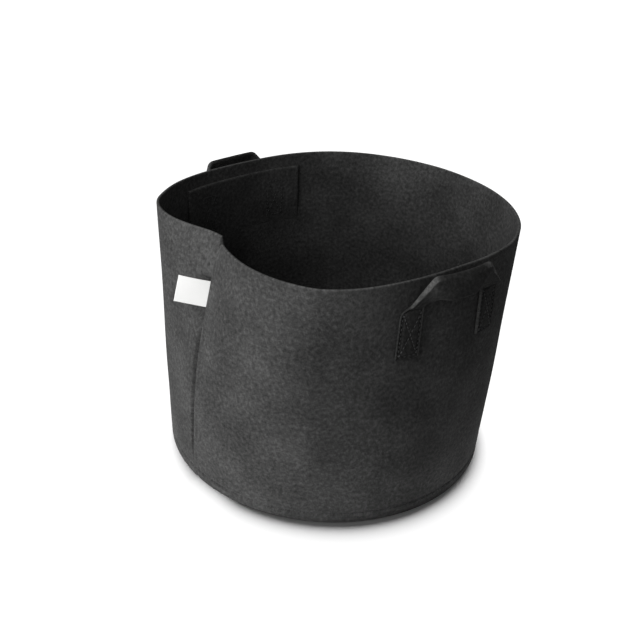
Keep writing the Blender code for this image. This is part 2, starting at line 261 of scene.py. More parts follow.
def colour_steps(tree, amount, tone, stops):
    """A colour that runs through shades of one tone. Each stop is a place and a strength."""
    ramp = tree.nodes.new("ShaderNodeValToRGB")
    while len(ramp.color_ramp.elements) < len(stops):
        ramp.color_ramp.elements.new(0.5)
    for element, (place, strength) in zip(ramp.color_ramp.elements, stops):
        element.position = place
        element.color = (*(part * strength for part in tone), 1.0)
    tree.links.new(amount, ramp.inputs["Fac"])
    return ramp.outputs["Color"]


# How much paler the felt grows along its cut and rubbed edges: partly their paler fibres, partly a painted
# highlight for the light the edges catch.
EDGE_PALER_AND_HIGHLIGHT = 3.2
CLOUD_SCALE, CLOUD_SHARE = 16.0, 0.30
TUFT_SCALE, TUFT_SHARE, TUFT_OFFSET = 230.0, 0.50, -0.15
FIBRES = (
    # lean, width and length of each lay of fibres, and its share in the shade
    (24.0, 0.0007, 0.007, 0.28),
    (-52.0, 0.0006, 0.006, 0.22),
)
FELT_SHADES = ((0.36, 0.42), (0.50, 0.96), (0.64, 1.90), (0.80, 2.80))


def felt(name, tone):
    """Needled felt: tufts a few millimetres wide, single fibres lying all ways, and broad faint clouds."""
    material = bpy.data.materials.new(name)
    material.use_nodes = True
    tree = material.node_tree
    tree.nodes.clear()
    place = node(tree, "ShaderNodeUVMap", uv_map="flat_cut")
    clouds = node(tree, "ShaderNodeTexNoise", {"Vector": place, "Scale": CLOUD_SCALE, "Detail": 3.0})
    tufts = node(tree, "ShaderNodeTexNoise", {"Vector": place, "Scale": TUFT_SCALE, "Detail": 4.0,
                                              "Roughness": 0.62})
    total = node(tree, "ShaderNodeMath", {0: tufts, 1: TUFT_SHARE, 2: TUFT_OFFSET}, operation="MULTIPLY_ADD")
    total = node(tree, "ShaderNodeMath", {0: clouds, 1: CLOUD_SHARE, 2: total}, operation="MULTIPLY_ADD")
    for lean, width, length, share in FIBRES:
        laid = node(tree, "ShaderNodeMapping", {"Vector": place, "Rotation": (0.0, 0.0, math.radians(lean)),
                                                "Scale": (width, length, 1.0)}, vector_type="TEXTURE")
        fibres = node(tree, "ShaderNodeTexNoise", {"Vector": laid, "Scale": 1.0, "Detail": 2.0,
                                                   "Distortion": 1.4})
        total = node(tree, "ShaderNodeMath", {0: fibres, 1: share, 2: total}, operation="MULTIPLY_ADD")
    # Along the edges the colour is paled: partly paler loose fibres, partly a painted highlight.
    pale_edge_and_highlight = tree.nodes.new("ShaderNodeAttribute")
    pale_edge_and_highlight.attribute_name = "pale_edge_and_highlight"
    paler = node(tree, "ShaderNodeMath", {0: pale_edge_and_highlight.outputs["Fac"], 1: EDGE_PALER_AND_HIGHLIGHT, 2: 1.0},
                 operation="MULTIPLY_ADD")
    shade = colour_steps(tree, total, tone, FELT_SHADES)
    shade = node(tree, "ShaderNodeVectorMath", {0: shade, "Scale": paler}, operation="SCALE")
    relief = node(tree, "ShaderNodeBump", {"Height": total, "Strength": 0.7, "Distance": 0.0016})
    rough = node(tree, "ShaderNodeMapRange", {"Value": total, "From Min": 0.3, "From Max": 0.7,
                                              "To Min": 1.0, "To Max": 0.86})
    surface = node(tree, "ShaderNodeBsdfPrincipled", {
        "Base Color": shade, "Roughness": rough, "Normal": relief, "Specular IOR Level": 0.25,
        "Sheen Weight": 0.10, "Sheen Roughness": 0.45, "Sheen Tint": (0.5, 0.5, 0.5, 1.0)})
    node(tree, "ShaderNodeOutputMaterial", {"Surface": surface})
    return material


WALL_TONE = (0.068, 0.068, 0.0675)
WALL_COLUMN, WALL_ROW, CUT_EDGE = 0.8, 0.0028, 0.0012
BASE_ROW_PULL, SIDE_ROW_PULL, ROW_PULL_WIDTH = 0.0021, 0.0009, 0.0018
LAP_TURN = turn_of(LAP_WIDTH)
wall_felt = felt("charcoal_wall_felt", WALL_TONE)


def sewn_in(turn, height):
    """How far the rows of stitches pull the wall's outer face in."""
    base_row = BASE_ROW_PULL * np.exp(-((height - BASE_SEAM_HEIGHT) / ROW_PULL_WIDTH) ** 2)
    off_side_row = (turn - turn_of(SIDE_SEAM_INSET)) / turn_of(ROW_PULL_WIDTH)
    return np.maximum(base_row, SIDE_ROW_PULL * np.exp(-off_side_row ** 2))


def with_more(places, fullness, extra):
    """Add closer steps, at full thickness, where a shape needs them."""
    places, picks = np.unique(np.concatenate([places, extra]), return_index=True)
    return places, np.concatenate([fullness, np.ones(len(extra))])[picks]


TUCK_START, TUCK_WIDTH, TUCK, CURL, CURL_TURN, RIM_ALONE = 360.4, 1.8, 0.016, 0.0065, 2.4, 6
RIM_LIFT, RIM_LIFT_TURN, RIM_SAG, RIM_SAG_END, RIM_SAG_FADE = 0.0035, 30.0, 0.002, 45.0, 25.0
RIM_FRAY_AND_HIGHLIGHT, RIM_PALING_POWER = 0.31, 3
FINE_TURNS = ((349.0, 356.3, 22), (356.5, 361.5, 26))
FINE_HEIGHTS = ((0.007, 0.017, 13), (0.197, 0.223, 24), (0.266, 0.279, 12))
turns, turn_full = with_more(*cut_steps(0.0, FULL_TURN + LAP_TURN, WALL_COLUMN, turn_of(CUT_EDGE)),
                             np.concatenate([np.linspace(*part) for part in FINE_TURNS]))
heights, height_full = with_more(*cut_steps(SEAT_GAP, BAG_HEIGHT, WALL_ROW, CUT_EDGE),
                                 np.concatenate([np.linspace(*part) for part in FINE_HEIGHTS]))
turn_grid, height_grid = np.meshgrid(turns, heights)
full = np.minimum(turn_full[None, :], height_full[:, None])
# The rim's cut edge is paled: partly its own loose fibres, partly a painted highlight for the lit line along
# the rim.
rim_paling_and_highlight = RIM_FRAY_AND_HIGHLIGHT * (1.0 - height_full[:, None] ** RIM_PALING_POWER) * (height_grid > BAG_HEIGHT / 2)
wall_flat = np.stack([np.radians(turn_grid) * BAG_RADIUS, height_grid], axis=-1)
flush = (1.0 - lap_open(height_grid)) * (1.0 - ease(turn_grid / FLUSH_TURN))
half_felt = FELT / 2 * np.maximum(FLUSH_THINNEST, 1.0 - flush)
tucked = TUCK * ease((turn_grid - TUCK_START) / TUCK_WIDTH) + CURL * (1.0 - ease(turn_grid / CURL_TURN))
tucked = tucked - RIM_LIFT * ease((turn_grid - FULL_TURN) / RIM_LIFT_TURN + 1.0)
tucked = tucked + RIM_SAG * (1.0 - ease((turn_grid - RIM_SAG_END) / RIM_SAG_FADE))
height_grid = height_grid - tucked * (height_grid / BAG_HEIGHT) ** RIM_ALONE
outer_face = half_felt * (full - 1.0) - sewn_in(turn_grid, height_grid) * (full > 0)
felt_wall = cut_panel("felt_wall", wall_point(turn_grid, height_grid, outer_face),
                      wall_point(turn_grid, height_grid, -half_felt * (full + 1.0)),
                      wall_flat, wall_felt, rim_paling_and_highlight)
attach(felt_wall, "bag")
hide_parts("wall_sheet")

# The base is a round of the same felt. Its edge is turned up inside the wall and sewn to it all round, so
# the floor of the bag lies on the ground with a few soft swells.
BASE_TURN_UP, BASE_BEND, BASE_RAMP, WALL_STEP = 0.018, 0.011, 12.5, 3.0
BASE_COLUMNS, BASE_RINGS, BEND_STEPS, EDGE_ROWS = 240, 30, 6, 5
BASE_EYE = 0.02
BASE_SWELL, SWELL_COUNT, SWELL_SPIRAL, SWELL_FADE = 0.0016, 2, 9.0, 4


def base_depth(turn):
    """From the wall's outer face in to the base's edge, which also clears the lap's inner layer."""
    past_lap = ease((turn - LAP_TURN - WALL_STEP) / BASE_RAMP)
    return FELT + SEAT_GAP + (FELT + LAP_GAP) * (1.0 - past_lap)


def base_profile():
    """Rows of the base from its middle out and up its edge.

    Each has its kind, and its share of the way out, its angle round the bend or its height.
    """
    rows = [("floor", share) for share in np.linspace(BASE_EYE, 1.0, BASE_RINGS)]
    rows += [("bend", angle) for angle in np.linspace(0.0, math.pi / 2, BEND_STEPS)[1:]]
    low = FELT / 2 + BASE_BEND
    rows += [("edge", height) for height in np.linspace(low, BASE_TURN_UP, EDGE_ROWS)[1:]]
    return rows


turns = np.linspace(0.0, FULL_TURN, BASE_COLUMNS, endpoint=False)
corner = wall_point(turns, 0.0, -base_depth(turns) - FELT / 2 - BASE_BEND)
edge_way = outwards(turns, np.zeros_like(turns))
up_way = np.array((0.0, 0.0, 1.0))
base_rings = []
for kind, amount in base_profile():
    if kind == "floor":
        wave = 0.5 + 0.5 * np.cos(SWELL_COUNT * np.radians(turns) + SWELL_SPIRAL * amount)
        swell = BASE_SWELL * wave * ease((1.0 - amount) * SWELL_FADE)
        middle = corner * amount + up_way * (FELT / 2 + swell[:, None])
        facing = np.broadcast_to(-up_way, middle.shape)
    elif kind == "bend":
        facing = edge_way * math.sin(amount) - up_way * math.cos(amount)
        middle = corner + up_way * (FELT / 2 + BASE_BEND) + facing * BASE_BEND
    else:
        facing = edge_way
        middle = wall_point(turns, amount, -base_depth(turns) - FELT / 2)
    base_rings.append((middle, facing))
under_side = [middle + facing * FELT / 2 for middle, facing in base_rings]
upper_side = [middle - facing * FELT / 2 for middle, facing in base_rings]
rim_of_edge = [base_rings[-1][0] + up_way * CUT_EDGE]
base_points = np.concatenate(under_side + rim_of_edge + upper_side[::-1])
ring_count = len(base_points) // BASE_COLUMNS
index = np.arange(len(base_points)).reshape(ring_count, BASE_COLUMNS)
after = np.roll(index, -1, axis=1)
base_faces = np.stack([index[:-1], index[1:], after[1:], after[:-1]], axis=-1).reshape(-1, 4)
base_faces = base_faces.tolist() + [index[0].tolist(), index[-1][::-1].tolist()]
base_places = base_points[np.concatenate([np.array(face) for face in base_faces])][:, :2]
felt_base = make_piece("felt_base", base_points, base_faces, base_places, wall_felt)
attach(felt_base, "bag")
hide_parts("base_disc")

# Behind each handle a panel of thinner felt lies inside the wall and spreads the strap's pull. Only the
# stitches of the strap's ends go through it, so its edges lie loose on the wall.
PATCH_WIDTH, PATCH_HEIGHT, PATCH_BELOW_RIM, PATCH = 0.186, 0.083, 0.017, 0.003
PATCH_STEP, PATCH_FEATHER, PATCH_PRESS, PATCH_PRESS_SHARE = 0.0022, 0.045, 0.0008, 0.05
PATCH_FOOT = BAG_HEIGHT - PATCH_BELOW_RIM - PATCH_HEIGHT
PATCH_FRAY_AND_HIGHLIGHT = 0.12
PATCH_TONE = (0.066, 0.066, 0.0655)
patch_felt = felt("patch_felt", PATCH_TONE)


def patch_thickness(height):
    """The patch is pared thin towards its foot."""
    return PATCH * ease((height - PATCH_FOOT) / PATCH_FEATHER)


for handle, handle_turn in HANDLE_TURNS.items():
    along, along_full = cut_steps(-PATCH_WIDTH / 2, PATCH_WIDTH / 2, PATCH_STEP, CUT_EDGE)
    up, up_full = cut_steps(-PATCH_HEIGHT / 2, PATCH_HEIGHT / 2, PATCH_STEP, CUT_EDGE)
    patch_flat = np.stack(np.meshgrid(along, up), axis=-1)
    turn_grid = handle_turn + turn_of(1.0) * patch_flat[..., 0]
    height_grid = PATCH_FOOT + PATCH_HEIGHT / 2 + patch_flat[..., 1]
    patch_full = np.minimum(along_full[None, :], up_full[:, None]) * patch_thickness(height_grid) / PATCH
    wall_side = -FELT - SEAT_GAP * patch_full + PATCH_PRESS * (1.0 - ease(patch_full / PATCH_PRESS_SHARE))
    # The patch's upper cut edge is paled: partly its loose fibres, partly a painted highlight for the light
    # along its top.
    patch_paling_and_highlight = PATCH_FRAY_AND_HIGHLIGHT * (1.0 - up_full[:, None] ** 2) * (patch_flat[..., 1] > 0.0)
    patch = cut_panel(f"{handle}_patch", wall_point(turn_grid, height_grid, wall_side),
                      wall_point(turn_grid, height_grid, wall_side - PATCH * patch_full),
                      patch_flat, patch_felt, patch_paling_and_highlight)
    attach(patch, "bag")
    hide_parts(f"{handle}_handle_patch")

# Each handle is one strap of doubled felt. Its two ends are sewn flat on the wall, and the free length
# between them leans out from the rim and twists over at two bends.
STRAP_WIDTH, STRAP, GRIP = 0.025, 0.004, 0.0068
TAB_LENGTH, TAB_SPACING, HINGE_BELOW_RIM = 0.056, 0.115, 0.030
TAB_SPREAD, TAB_CORNER, FOLD_RISE = 0.003, 0.009, 0.0015
TAB_PRESS, TAB_PRESS_POWER, TAB_CUT, TAB_CUT_THICK, TAB_LIFT = 0.62, 6, 0.0025, 0.45, 0.010
GRIP_TILT, TWIST_LEAD, TWIST_LENGTH, LOOP_CURL = 10.0, 0.012, 0.040, 0.0035
GRIP_SAG = {"right": 0.0025, "left": 0.0}
LEGS = {
    # share of the sewn end's width that folds under, and how far the fold stands off the wall; the upper
    # edge's bend, out from the rim, above it and from the handle's middle; from there to the lower edge,
    # outwards, towards the middle and upwards; and how pale the leg's upper edge is, partly rubbed fibres
    # and partly a painted highlight where that edge catches the light
    "right": {"front": (0.42, 0.0, (0.0120, 0.0060, 0.0385), (-0.004, 0.010, -0.0225), 0.5),
              "rear": (0.0, 0.0065, (0.0165, 0.0068, 0.0345), (-0.012, 0.006, -0.021), 0.8)},
    "left": {"front": (0.30, 0.0, (0.0165, 0.0025, 0.0340), (0.002, 0.0115, -0.022), 0.3),
             "rear": (0.30, 0.0, (0.0165, 0.0040, 0.0355), (0.002, 0.0115, -0.022), 0.3)},
}
LAID_WIDTH = STRAP_WIDTH + TAB_SPREAD
HINGE_HEIGHT = BAG_HEIGHT - HINGE_BELOW_RIM
TAB_TOP = HINGE_HEIGHT - SEAT_GAP
TAB_BOTTOM = TAB_TOP - TAB_LENGTH
STRAP_STEP, STRAP_COLUMNS, LINE_POINTS = 0.0010, 26, 60
EDGE_BENDS = (-75.0, -50.0, -25.0, 0.0, 25.0, 50.0, 75.0)
TURN_SOFTNESS, TURN_REACH, BEND_SOFTNESS, BEND_REACH = 0.0020, 0.007, 0.0030, 0.012
LOWER_SOFTNESS, LOWER_REACH = 0.0060, 0.016
STITCH_PITCH, STITCH_PULL, CROSS_PULL, STITCH_PULL_WIDTH, PUCKER = 0.0050, 0.0018, 0.0008, 0.0017, 0.00035
BOX_INSET = 0.003
BOX_ACROSS, BOX_TALL = LAID_WIDTH / 2 - BOX_INSET, TAB_LENGTH / 2 - BOX_INSET
TAB_FRAY_AND_HIGHLIGHT, WORN_HIGHLIGHT_FADE = 0.40, 0.012
STRAP_TONE = (0.042, 0.042, 0.0415)
strap_felt = felt("strap_felt", STRAP_TONE)


def facing_end(handle, side):
    """Which end of a handle lies on one side of its middle. The front end is the one nearer to the seam."""
    return "front" if (side < 0) == (handle == "right") else "rear"


def round_corner(edge, run, corner, softness, reach):
    """Round the corner that an edge makes at one place of its run."""
    spread = np.exp(-0.5 * ((run[:, None] - run[None, :]) / softness) ** 2)
    rounded = spread @ edge / spread.sum(axis=1, keepdims=True)
    share = np.exp(-((run - corner) / reach) ** 2)[:, None]
    return edge * (1.0 - share) + rounded * share


def strap_half(handle, side):
    """Half a strap, from its sewn end to the grip's middle: upper and lower edge, run, bend and fullness."""
    middle = HANDLE_TURNS[handle]
    turn = middle + side * turn_of(TAB_SPACING / 2)
    upper_turn = turn + side * turn_of(STRAP_WIDTH / 2)
    lower_turn = turn - side * turn_of(STRAP_WIDTH / 2 + TAB_SPREAD)
    tab_heights = np.linspace(TAB_BOTTOM, HINGE_HEIGHT, round(TAB_LENGTH / STRAP_STEP))
    seat = SEAT_GAP + STRAP / 2
    tab_upper = wall_point(upper_turn, tab_heights, seat)
    tab_lower = wall_point(lower_turn, tab_heights, seat)
    handle_angle = math.radians(SEAM_AZIMUTH + middle - SEAM_SLANT * HINGE_BELOW_RIM / BAG_HEIGHT)
    out = np.array((math.cos(handle_angle), math.sin(handle_angle), 0.0))
    to_middle = -side * np.array((-out[1], out[0], 0.0))
    folded_under, stand_off, bend_place, lower_place, _ = LEGS[handle][facing_end(handle, side)]
    other_place = LEGS[handle][facing_end(handle, -side)][2]
    fold = tab_upper[-1] + (tab_lower[-1] - tab_upper[-1]) * folded_under
    fold = fold + up_way * FOLD_RISE + out * stand_off
    share = np.clip((tab_heights - HINGE_HEIGHT) / TAB_CORNER + 1.0, 0.0, 1.0)[:, None]
    corner_start = wall_point(upper_turn, HINGE_HEIGHT - TAB_CORNER, seat)
    corner_top = tab_upper[-1] + up_way * FOLD_RISE
    rounded = (corner_start * (1.0 - share) ** 2 + corner_top * 2.0 * share * (1.0 - share)
               + fold * share ** 2)
    tab_upper = np.where(share > 0.0, rounded, tab_upper)

    rim = out * (face_point(middle, BAG_HEIGHT) @ out) + up_way * BAG_HEIGHT
    bend = rim + out * bend_place[0] + up_way * bend_place[1] - to_middle * bend_place[2]
    other = rim + out * other_place[0] + up_way * other_place[1] + to_middle * other_place[2]
    leg = fold + (bend - fold) * np.linspace(0.0, 1.0, LINE_POINTS)[:, None]
    past = np.linspace(-1.0, 0.0, LINE_POINTS)[1:, None]
    grip = bend * (1.0 - past) / 2 + other * (1.0 + past) / 2
    grip = grip - up_way * GRIP_SAG[handle] * (1.0 - past ** 2)
    line = np.concatenate([leg, grip])
    length = np.concatenate([[0.0], np.cumsum(np.linalg.norm(np.diff(line, axis=0), axis=1))])
    stations = np.linspace(0.0, length[-1], round(length[-1] / STRAP_STEP))[1:]
    bend_at = float(np.linalg.norm(bend - fold))
    loop_upper = np.stack([np.interp(stations, length, line[:, axis]) for axis in range(3)], axis=-1)
    loop_upper = round_corner(loop_upper, stations, bend_at, BEND_SOFTNESS, BEND_REACH)

    tilt = math.radians(GRIP_TILT)
    hanging = (out * math.sin(tilt) - up_way * math.cos(tilt)) * LAID_WIDTH
    at_bend = out * lower_place[0] + to_middle * lower_place[1] + up_way * lower_place[2]
    at_hinge = tab_lower[-1] - fold
    along_leg = ease(stations / bend_at)[:, None]
    twist = ease((stations - bend_at + TWIST_LEAD) / TWIST_LENGTH)[:, None]
    across = at_hinge + (at_bend - at_hinge) * along_leg + (hanging - at_bend) * twist
    wide = np.linalg.norm(at_hinge) + (LAID_WIDTH - np.linalg.norm(at_hinge)) * along_leg
    loop_lower = loop_upper + across / np.linalg.norm(across, axis=1, keepdims=True) * wide
    loop_lower = round_corner(loop_lower, stations, bend_at, LOWER_SOFTNESS, LOWER_REACH)
    run = np.concatenate([tab_heights - HINGE_HEIGHT, stations])
    upper = round_corner(np.concatenate([tab_upper, loop_upper]), run, 0.0, TURN_SOFTNESS, TURN_REACH)
    lower = round_corner(np.concatenate([tab_lower, loop_lower]), run, 0.0, TURN_SOFTNESS, TURN_REACH)
    return upper, lower, run, run - bend_at, ease(np.maximum(run, 0.0) / bend_at)


def pulled_in(across, tall):
    """How far the box of stitches with its cross pulls in a sewn strap end, from the box's middle."""
    box = np.abs(np.maximum(np.abs(across) - BOX_ACROSS, np.abs(tall) - BOX_TALL))
    inside = (np.abs(across) < BOX_ACROSS) & (np.abs(tall) < BOX_TALL)
    cross = np.abs(np.abs(across) * BOX_TALL - np.abs(tall) * BOX_ACROSS) / math.hypot(BOX_ACROSS, BOX_TALL)
    box_pull = STITCH_PULL * np.exp(-(box / STITCH_PULL_WIDTH) ** 2)
    cross_pull = CROSS_PULL * np.exp(-(cross / STITCH_PULL_WIDTH) ** 2) * inside
    beside = np.exp(-((np.abs(across) - BOX_ACROSS) / BOX_INSET) ** 2) * (np.abs(tall) < BOX_TALL)
    return np.maximum(box_pull, cross_pull) + PUCKER * beside * np.cos(math.tau * tall / STITCH_PITCH)


def strap_outline():
    """Points round the strap's section: share of the width, how far a round edge moves it in, and level."""
    bends = np.radians(EDGE_BENDS)
    faces = np.linspace(0.0, 1.0, STRAP_COLUMNS)
    outer = [(a, 1.0 - 2.0 * a, 1.0) for a in faces]
    lower_edge = [(1.0, math.cos(b) - 1.0, math.sin(b)) for b in bends[::-1]]
    inner = [(a, 1.0 - 2.0 * a, -1.0) for a in faces[::-1]]
    upper_edge = [(0.0, 1.0 - math.cos(b), math.sin(b)) for b in bends]
    return np.array(outer + lower_edge + inner + upper_edge).T[:, None, :]


for handle in HANDLE_TURNS:
    halves = []
    for side in (-1, 1):
        upper, lower, from_hinge, from_bend, fullness = strap_half(handle, side)
        heading = np.gradient((upper + lower) / 2, axis=0)
        facing = -side * np.cross(lower - upper, heading)
        facing /= np.linalg.norm(facing, axis=1, keepdims=True)
        thick = (STRAP + (GRIP - STRAP) * fullness) / 2
        from_cut = np.clip((from_hinge - from_hinge[0]) / TAB_CUT, 0.0, 1.0)
        thick = thick * (TAB_CUT_THICK + (1.0 - TAB_CUT_THICK) * np.sqrt(from_cut))
        sewn = 1.0 - ease((from_hinge + TAB_LIFT / 2) / TAB_LIFT)
        worn_and_highlight = LEGS[handle][facing_end(handle, side)][-1] * (1.0 - ease(from_bend / WORN_HIGHLIGHT_FADE))
        bow = LAID_WIDTH ** 2 / (8 * BAG_RADIUS) * sewn + LOOP_CURL * fullness
        rows = (from_hinge, thick, sewn, worn_and_highlight, bow)
        halves.append((upper, lower, facing, *(row[:, None] for row in rows)))
    upper, lower, facing, from_hinge, thick, sewn, worn_and_highlight, bow = (
        np.concatenate([first, second[::-1][1:]]) for first, second in zip(*halves))
    place, moved_in, level = strap_outline()
    share = place + moved_in * thick / np.linalg.norm(lower - upper, axis=1, keepdims=True)
    bow = bow * (1.0 - (2.0 * share - 1.0) ** 2)
    pressed = 1.0 - TAB_PRESS * sewn * np.maximum(1.0 - 2.0 * share, 0.0) ** TAB_PRESS_POWER
    pull = pulled_in((share - 0.5) * LAID_WIDTH, from_hinge + TAB_LENGTH / 2)
    off = thick * level * pressed + bow - pull * (level == 1.0)
    on_edge = np.abs(level) < 1.0
    # Pale strap edges, on the sewn ends' inner edges and the legs' upper edges: partly rubbed fibres, partly
    # a painted highlight where they catch the light.
    strap_paling_and_highlight = on_edge * (TAB_FRAY_AND_HIGHLIGHT * (place == 1.0) * sewn + worn_and_highlight * (1.0 - sewn) * (place == 0.0))
    rings = upper[:, None] + (lower - upper)[:, None] * share[..., None] + facing[:, None] * off[..., None]
    strap_points = rings.reshape(-1, 3)
    index = np.arange(len(strap_points)).reshape(rings.shape[:2])
    after = np.roll(index, -1, axis=1)
    strap_faces = np.stack([index[:-1], after[:-1], after[1:], index[1:]], axis=-1).reshape(-1, 4).tolist()
    strap_faces += [index[0][::-1].tolist(), index[-1].tolist()]
    run = np.concatenate([[0.0], np.cumsum(np.linalg.norm(np.diff((upper + lower) / 2, axis=0), axis=1))])
    round_it = share * LAID_WIDTH + np.where(level < 0.0, 2 * LAID_WIDTH, 0.0)
    strap_flat = np.stack(np.broadcast_arrays(round_it, run[:, None]), axis=-1).reshape(-1, 2)
    strap_places = strap_flat[np.concatenate([np.array(face) for face in strap_faces])]
    strap = make_piece(f"{handle}_strap", strap_points, strap_faces, strap_places, strap_felt,
                       strap_paling_and_highlight.ravel())
    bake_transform(strap)
    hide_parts(f"{handle}_handle_front_tab", f"{handle}_handle_rear_tab", f"{handle}_handle_loop")

# The bag is sewn with black bonded thread in a lockstitch. Each stitch lies proud on the felt between two
# needle holes, and the bobbin thread makes the same row inside.
THREAD, STRAP_THREAD = 0.0008, 0.0010
STITCH_GAP, STITCH_RINGS, THREAD_SIDES = 0.12, 6, 6
STITCH_PROUD, STITCH_DIP, STITCH_SLIM, DIP_POWER = 0.42, 0.85, 0.35, 3
PLY_SLANT, PLY_SCALE = 38.0, 420.0
BASE_STITCH, SIDE_STITCH = 0.0042, 0.0040
SIDE_SEAM_BELOW_RIM = 0.012
# The strap's stitches get a lighter thread colour than the seams': a painted glint for the light their proud
# humps catch.
BAG_THREAD_TONE, STRAP_THREAD_TONE_WITH_PAINTED_GLINT = (0.075, 0.075, 0.076), (0.105, 0.105, 0.107)


def thread_material(name, tone):
    """Bonded thread: three plies twisted together, with a slight polish."""
    material = bpy.data.materials.new(name)
    material.use_nodes = True
    tree = material.node_tree
    tree.nodes.clear()
    place = node(tree, "ShaderNodeUVMap", uv_map="flat_cut")
    slant = (0.0, 0.0, math.radians(PLY_SLANT))
    slanted = node(tree, "ShaderNodeMapping", {"Vector": place, "Rotation": slant})
    plies = node(tree, "ShaderNodeTexWave", {"Vector": slanted, "Scale": PLY_SCALE, "Distortion": 0.6})
    shade = colour_steps(tree, plies, tone, ((0.0, 0.55), (0.6, 1.0), (1.0, 1.5)))
    relief = node(tree, "ShaderNodeBump", {"Height": plies, "Strength": 0.6, "Distance": 0.0001})
    rough = node(tree, "ShaderNodeMapRange", {"Value": plies, "To Min": 0.62, "To Max": 0.42})
    surface = node(tree, "ShaderNodeBsdfPrincipled", {
        "Base Color": shade, "Roughness": rough, "Normal": relief, "Specular IOR Level": 0.5})
    node(tree, "ShaderNodeOutputMaterial", {"Surface": surface})
    return material


bag_thread = thread_material("black_bag_thread", BAG_THREAD_TONE)
strap_thread = thread_material("strap_thread_with_painted_glint", STRAP_THREAD_TONE_WITH_PAINTED_GLINT)


def needle_holes(corners, pitch):
    """Evenly spaced holes along a row given by its corners, each a turn and a height."""
    corners = np.asarray(corners, float)
    flat = corners * (math.radians(1.0) * BAG_RADIUS, 1.0)
    length = np.concatenate([[0.0], np.cumsum(np.linalg.norm(np.diff(flat, axis=0), axis=1))])
    stations = np.linspace(0.0, length[-1], max(2, round(length[-1] / pitch) + 1))
    return np.stack([np.interp(stations, length, corners[:, axis]) for axis in range(2)], axis=-1)


def sew(name, rows, seat, node_name, thread=bag_thread, thick=THREAD):
    """Stitches between each row's holes. Seat gives the cloth's place and facing at a turn and height."""
    starts = np.concatenate([row[:-1] for row in rows])
    ends = np.concatenate([row[1:] for row in rows])
    shares = np.linspace(STITCH_GAP, 1.0 - STITCH_GAP, STITCH_RINGS)
    at = starts[:, None] + (ends - starts)[:, None] * shares[None, :, None]
    seats, facing = seat(at[..., 0], at[..., 1])
    sunk = np.abs(2.0 * np.linspace(0.0, 1.0, STITCH_RINGS) - 1.0) ** DIP_POWER
    middle = seats + facing * (thick * (STITCH_PROUD - STITCH_DIP * sunk))[None, :, None]
    heading = middle[:, -1:] - middle[:, :1]
    heading = heading / np.linalg.norm(heading, axis=-1, keepdims=True)
    sideways = np.cross(heading, facing)
    sideways /= np.linalg.norm(sideways, axis=-1, keepdims=True)
    angles = np.linspace(0.0, math.tau, THREAD_SIDES, endpoint=False)
    slim = thick / 2 * (1.0 - STITCH_SLIM * sunk)
    rings = (middle[:, :, None] + slim[None, :, None, None]
             * (sideways[:, :, None] * np.cos(angles)[None, None, :, None]
                + np.cross(sideways, heading)[:, :, None] * np.sin(angles)[None, None, :, None]))
    points = rings.reshape(-1, 3)
    index = np.arange(len(points)).reshape(rings.shape[:3])
    after = np.roll(index, -1, axis=2)
    sides = np.stack([index[:, :-1], index[:, 1:], after[:, 1:], after[:, :-1]], axis=-1).reshape(-1, 4)
    faces = sides.tolist() + index[:, 0].tolist() + index[:, -1, ::-1].tolist()
    spot = np.stack(np.broadcast_arrays(
        np.arange(len(starts))[:, None, None] * STITCH_PITCH + shares[None, :, None] * STITCH_PITCH,
        angles[None, None, :] * thick / 2), axis=-1).reshape(-1, 2)
    places = spot[np.concatenate([np.array(face) for face in faces])]
    piece = make_piece(name, points, faces, places, thread)
    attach(piece, "bag")
    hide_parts(node_name)
    return piece


def on_wall(out, inwards=False):
    """Seat for stitches on the wall or on what lies on it, at a distance from the wall's outer face."""
    def seat(turn, height):
        way = outwards(turn, height)
        return wall_point(turn, height, out(turn, height)), -way if inwards else way
    return seat


def on_outer_face(turn, height):
    """The wall's outer face, where its rows of stitches pull it in."""
    return -sewn_in(turn, height)


def on_lap_inside(turn, height):
    """Inner face of the lap's inner layer."""
    return np.full_like(turn, -FELT)


def on_base_edge(turn, height):
    """Inner face of the base's turned-up edge."""
    return -base_depth(turn) - FELT


def on_strap_end(box_turn):
    """Outer face of a strap's sewn end, where its box of stitches pulls it in."""
    def out(turn, height):
        across = (turn - box_turn) / turn_of(1.0)
        return SEAT_GAP + STRAP - pulled_in(across, height - (TAB_BOTTOM + TAB_TOP) / 2)
    return out


def on_patch(turn, height):
    """Inner face of a patch."""
    return -FELT - SEAT_GAP - patch_thickness(height)


